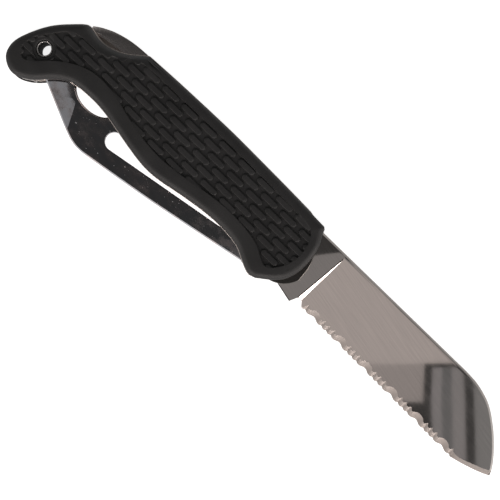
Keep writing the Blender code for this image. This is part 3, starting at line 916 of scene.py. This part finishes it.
def remapped(tree, value, low, high, start=0.3, end=0.7):
    """Low where the value is at start or below, high at end or above."""
    return new_node(tree, "MapRange", {
        "From Min": start, "From Max": end, "To Min": low, "To Max": high,
        "Value": value}).outputs["Result"]


def mixed(tree, value, first, second):
    """The first colour where the value is 0, the second where it is 1."""
    return new_node(tree, "Mix", {"A": (*first, 1), "B": (*second, 1), "Factor": value},
                    data_type="RGBA").outputs["Result"]


def combined(tree, operation, first, second):
    return new_node(tree, "Math", {0: first, 1: second}, operation=operation).outputs[0]


def bump(shader, value, height, previous=None):
    """Bump of a height in millimetres on the shader, over the bump made before."""
    node = new_node(shader.id_data, "Bump", {"Distance": height * MM, "Height": value})
    if previous:
        set_inputs(node, {"Normal": previous})
    set_inputs(shader, {"Normal": node.outputs["Normal"]})
    return node.outputs["Normal"]


def moulded_nylon():
    """Matt black polymer with a fine spark-eroded grain and faint flow streaks."""
    material, tree, shader, place = new_material("moulded_nylon")
    cloud = noise(tree, place, (90, 160, 160), 4)
    tint = mixed(tree, remapped(tree, cloud, 0, 1), (0.014, 0.014, 0.0145), (0.019, 0.019, 0.0195))
    set_inputs(shader, {"Base Color": tint, "Roughness": remapped(tree, cloud, 0.5, 0.62),
                        "Specular IOR Level": 0.4})
    grain = noise(tree, place, (4200, 4200, 4200), 2)
    pits = noise(tree, place, (1300, 1300, 1300), 3)
    bump(shader, pits, 0.02, bump(shader, grain, 0.012))
    return material


def steel(name, light, dark, roughness, lines=(60, 5200, 5200), depth=0.0012, turn=0.0):
    """Ground steel: fine lines one way, faint handling marks and uneven polish."""
    material, tree, shader, place = new_material(name)
    grinding = noise(tree, place, lines, 2, 0.6, turn)
    smears = noise(tree, place, (70, 110, 110), 5, 0.6, turn + 35)
    marks = noise(tree, place, (240, 9000, 9000), 1, 0.5, turn + 63)
    tone = mixed(tree, remapped(tree, grinding, 0, 1, 0.25, 0.75), dark, light)
    uneven = remapped(tree, smears, -0.25 * roughness, 0.3 * roughness)
    lined = remapped(tree, grinding, 0.85 * roughness, 1.15 * roughness)
    set_inputs(shader, {"Metallic": 1.0, "Base Color": tone,
                        "Roughness": combined(tree, "ADD", uneven, lined)})
    scratches = remapped(tree, marks, 0, 1, 0.66, 0.8)
    bump(shader, scratches, depth * 0.6, bump(shader, grinding, depth))
    return material


def node_of(material, kind):
    return next(node for node in material.node_tree.nodes if node.type == kind)


def object_place(material):
    return node_of(material, "TEX_COORD").outputs["Object"]


def face_mask(material, name):
    """A face attribute of the mesh as a mask."""
    return new_node(material.node_tree, "Attribute", {}, attribute_name=name).outputs["Fac"]


def blend(material, mask, values):
    """Lead inputs of the material's shader towards the values where the mask is 1."""
    shader = node_of(material, "BSDF_PRINCIPLED")
    for name, value in values.items():
        socket = shader.inputs[name]
        before = socket.links[0].from_socket if socket.is_linked else socket.default_value
        mix = new_node(material.node_tree, "Mix", {"A": before, "B": value, "Factor": mask},
                       data_type="RGBA" if socket.type == "RGBA" else "FLOAT")
        set_inputs(shader, {name: mix.outputs["Result"]})


def reach_from(material, centre, start, end):
    """Mask that is 1 nearer than start to an upright axis, 0 beyond end, in millimetres."""
    tree = material.node_tree
    flat = new_node(tree, "VectorMath", {0: object_place(material), 1: (1, 1, 0)},
                    operation="MULTIPLY")
    away = new_node(tree, "VectorMath", {
        0: flat.outputs["Vector"], 1: (centre[0] * MM, centre[1] * MM, 0)}, operation="DISTANCE")
    return remapped(tree, away.outputs["Value"], 1, 0, start * MM, end * MM)


def blade_finish():
    """Slightly wavy mirror polish with fine lines, a satin tooth bevel and a plain one painted
    darker as painted shade against the front lamp's reflection.
    """
    material = steel("blade_steel", (0.65, 0.605, 0.58), (0.57, 0.535, 0.515), 0.026,
                     (80, 2600, 2600), 0.00005, -11)
    shader = node_of(material, "BSDF_PRINCIPLED")
    waves = noise(material.node_tree, object_place(material), (28, 28, 28), 1)
    bump(shader, waves, 0.03, shader.inputs["Normal"].links[0].from_socket)
    blend(material, face_mask(material, "satin"),
          {"Roughness": 0.5, "Metallic": 0.45, "Base Color": (0.40, 0.36, 0.338, 1)})
    # Painted shade: the plain bevel's colour is darkened to offset the brighter reflection of the
    # front lamp on its slope.
    blend(material, face_mask(material, "plain_bevel"), {"Base Color": (0.27, 0.245, 0.23, 1)})
    return material


def key_finish():
    """Darker polish with blotches and dull specks; round the pivot the tang is painted nearly
    black as painted shade and dark reflection of the scale's front edge.
    """
    material = steel("key_steel", (0.47, 0.475, 0.50), (0.40, 0.405, 0.43), 0.05,
                     (60, 1600, 1600), 0.0001, 165)
    tree = material.node_tree
    place = object_place(material)
    blotches = remapped(tree, noise(tree, place, (260, 330, 330), 6, 0.62), 0, 1, 0.42, 0.68)
    blend(material, blotches, {"Roughness": 0.2, "Base Color": (0.48, 0.43, 0.43, 1)})
    specks = remapped(tree, noise(tree, place, (1500, 1500, 1500), 1, 0.4), 0, 1, 0.74, 0.78)
    blend(material, specks, {"Roughness": 0.7})
    # Painted shade: near the pivot the tang is painted nearly black for the shade and dark
    # reflection beside the scale's front edge.
    tang = reach_from(material, (0, 0), 10, 12)
    blend(material, tang, {"Base Color": (0.11, 0.105, 0.10, 1), "Roughness": 0.3})
    return material


def eyelet_finish():
    """Bright rolled rims; the inside of the tube is painted nearly black and dull as painted shade
    in the bore.
    """
    material = steel("eyelet_steel", (0.48, 0.47, 0.46), (0.38, 0.37, 0.36), 0.2,
                     (1500, 1500, 1500), 0.0003)
    # Painted shade: the bore's wall is painted nearly black and dull for the shade inside the
    # tube.
    bore_painted_shade = reach_from(material, centre_of("lanyard_eyelet"), 2.015, 2.06)
    blend(material, bore_painted_shade, {"Base Color": (0.02, 0.02, 0.02, 1), "Metallic": 0.0,
                           "Specular IOR Level": 0.1, "Roughness": 0.6})
    return material


def dress(piece, material):
    """Give all of a piece one material."""
    if not piece.material_slots:
        piece.data.materials.append(material)
    for slot in piece.material_slots:
        slot.material = material


# -------------------- stage

PICTURE_TURN = math.radians(44.13)  # from +X, anticlockwise, to the picture's right
CAMERA_FOOT = (13.0, 8.6)  # the place below the camera
CAMERA_HEIGHT = 818.0  # above the knife's right side
LOOK_AT = (-8.06, -6.45)  # the place on that side in the middle of the view
VIEW_WIDTH = 151.1  # width of the view there
FLOOR_GLOW = (0.3, 0.85)  # as the knife sees it and as the camera does
CARD_LEVEL = 1000.0
WARM = (1.0, 0.89, 0.84)
# Softboxes overhead, in millimetres to the picture's right and down: left, right, upper and
# lower side, then radiance and colour.
CARDS = {
    "blade_card": (-130, 25, 50, 149, 0.48, (1.0, 0.91, 0.87)),
    "ricasso_card": (-70, 22, 0, 50, 0.22, (1.0, 0.96, 0.95)),
    "edge_card": (-70, -1, 149, 177, 0.33, (1.0, 0.91, 0.88)),
    "left_middle_card": (4.5, 11.5, 152, 260, 0.24, (1.0, 0.96, 0.98)),
    "middle_card": (11.5, 18.5, 152, 260, 0.12, (0.96, 0.98, 1.0)),
    "right_middle_card": (18.5, 27, 152, 260, 0.24, (1.0, 0.96, 0.97)),
    "point_card": (33, 110, 152, 300, 0.205, (1.0, 1.0, 1.0)),
    "key_tip_card": (-340, -200, -290, -120, 0.33, (1.0, 0.98, 0.97)),
}
# Lamps: place, width and height, radiance.
LAMPS = {
    "near_lamp": ((0, 520, 400), (90, 90), 36.0),
    "belly_lamp": ((-400, 400, 280), (80, 80), 36.0),
    "front_lamp": ((640, 560, 190), (420, 260), 6.5),
}


def make_floor():
    bpy.ops.mesh.primitive_plane_add(size=6.0, location=(0, 0, -0.0002))
    floor = bpy.context.object
    floor.name = "floor"
    material, tree, shader, _ = new_material("pale_floor")
    seen = new_node(tree, "LightPath", {}).outputs["Is Camera Ray"]
    set_inputs(shader, {"Base Color": (0.7, 0.7, 0.7, 1), "Roughness": 0.9,
                        "Specular IOR Level": 0.1, "Emission Color": (1, 1, 1, 1),
                        "Emission Strength": remapped(tree, seen, *FLOOR_GLOW, 0, 1)})
    floor.data.materials.append(material)


def make_world():
    """White to the camera; to the knife a dark ceiling over walls, brighter below the picture."""
    world = bpy.data.worlds.new("studio")
    bpy.context.scene.world = world
    world.use_nodes = True
    tree = world.node_tree
    tree.nodes.clear()
    place = new_node(tree, "TexCoord", {}).outputs["Generated"]
    height = new_node(tree, "SeparateXYZ", {"Vector": place}).outputs["Z"]
    level = ramp(tree, height, [(0.0, 0.75), (0.5, 0.75), (0.8, 0.35), (0.95, 0.065), (1.0, 0.06)])
    down = (math.sin(PICTURE_TURN), -math.cos(PICTURE_TURN), 0)
    downwards = new_node(tree, "VectorMath", {0: place, 1: down}, operation="DOT_PRODUCT")
    side = remapped(tree, downwards.outputs["Value"], 0.4, 1.4, -0.8, 0.7)
    walls = new_node(tree, "Background", {"Color": (1.0, 0.975, 0.955, 1),
                                          "Strength": combined(tree, "MULTIPLY", level, side)})
    white = new_node(tree, "Background", {"Color": (1, 1, 1, 1), "Strength": 1.0})
    seen = new_node(tree, "LightPath", {}).outputs["Is Camera Ray"]
    mix = new_node(tree, "MixShader", {
        "Fac": seen, 1: walls.outputs["Background"], 2: white.outputs["Background"]})
    new_node(tree, "OutputWorld", {"Surface": mix.outputs["Shader"]})


def on_stage(across, down, level):
    """A place given along the picture's right and down directions."""
    along_x, along_y = math.cos(PICTURE_TURN), math.sin(PICTURE_TURN)
    return Vector((across * along_x + down * along_y,
                   across * along_y - down * along_x, level)) * MM


def softbox(name, centre, size, radiance, colour):
    data = bpy.data.lights.new(name, "AREA")
    data.shape = "RECTANGLE"
    data.size, data.size_y = size[0] * MM, size[1] * MM
    data.energy = math.pi * data.size * data.size_y * radiance
    data.color = colour
    light = new_object(name, data)
    light.location = centre
    return light


def make_lights():
    for name, (left, right, upper, lower, radiance, colour) in CARDS.items():
        centre = on_stage((left + right) / 2, (upper + lower) / 2, CARD_LEVEL)
        light = softbox(name, centre, (right - left, lower - upper), radiance, colour)
        light.rotation_euler = (0, 0, PICTURE_TURN)
    for name, (place, size, radiance) in LAMPS.items():
        light = softbox(name, on_stage(*place), size, radiance, WARM)
        light.rotation_euler = light.location.to_track_quat("Z", "Y").to_euler()


def make_camera(top):
    data = bpy.data.cameras.new("camera")
    camera = new_object("camera", data)
    bpy.context.scene.camera = camera
    stand = Vector((*CAMERA_FOOT, top + CAMERA_HEIGHT))
    reach = stand - Vector((*LOOK_AT, top))
    back = reach.normalized()
    right = Vector((math.cos(PICTURE_TURN), math.sin(PICTURE_TURN), 0))
    right = (right - back * right.dot(back)).normalized()
    facing = Matrix((right, back.cross(right), back)).transposed().to_4x4()
    camera.matrix_world = Matrix.Translation(stand * MM) @ facing
    data.lens = reach.length / VIEW_WIDTH * data.sensor_width
    data.clip_start = 0.01
    data.clip_end = 20.0


# -------------------- build

scales = make_scales()
blade = make_blade()
key = make_key()
lock_bar = make_lock_bar()
eyelet = make_eyelet()
liners = [edged_plate(name, 0.1, liner_tuck)
          for name in ("right_liner", "left_liner", "centre_liner")]
springs = [edged_plate(name, 0.12) for name in ("key_spring", "butt_spacer")]

nylon = moulded_nylon()
for scale in scales:
    dress(scale, nylon)
dress(blade, blade_finish())
dress(key, key_finish())
dress(lock_bar, steel("lock_steel", (0.88, 0.82, 0.80), (0.76, 0.71, 0.69), 0.12, depth=0.0003))
dress(eyelet, eyelet_finish())
liner_steel = steel("liner_steel", (0.50, 0.45, 0.42), (0.40, 0.36, 0.34), 0.3)
for liner in liners:
    dress(liner, liner_steel)
spring_steel = steel("spring_steel", (0.50, 0.48, 0.47), (0.40, 0.39, 0.38), 0.28)
for spring in springs + [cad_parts["lock_spring"]]:
    dress(spring, spring_steel)
pin_steel = steel("pin_steel", (0.66, 0.64, 0.62), (0.56, 0.54, 0.52), 0.2)
for name in PINS:
    dress(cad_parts[name], pin_steel)
bronze = steel("bronze", (0.60, 0.38, 0.18), (0.48, 0.29, 0.12), 0.3)
for name in ("left_blade_washer", "right_blade_washer", "left_key_washer", "right_key_washer"):
    dress(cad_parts[name], bronze)

make_floor()
make_world()
make_lights()
make_camera(levels("right_scale")[1])
bpy.context.scene.view_settings.view_transform = "Standard"
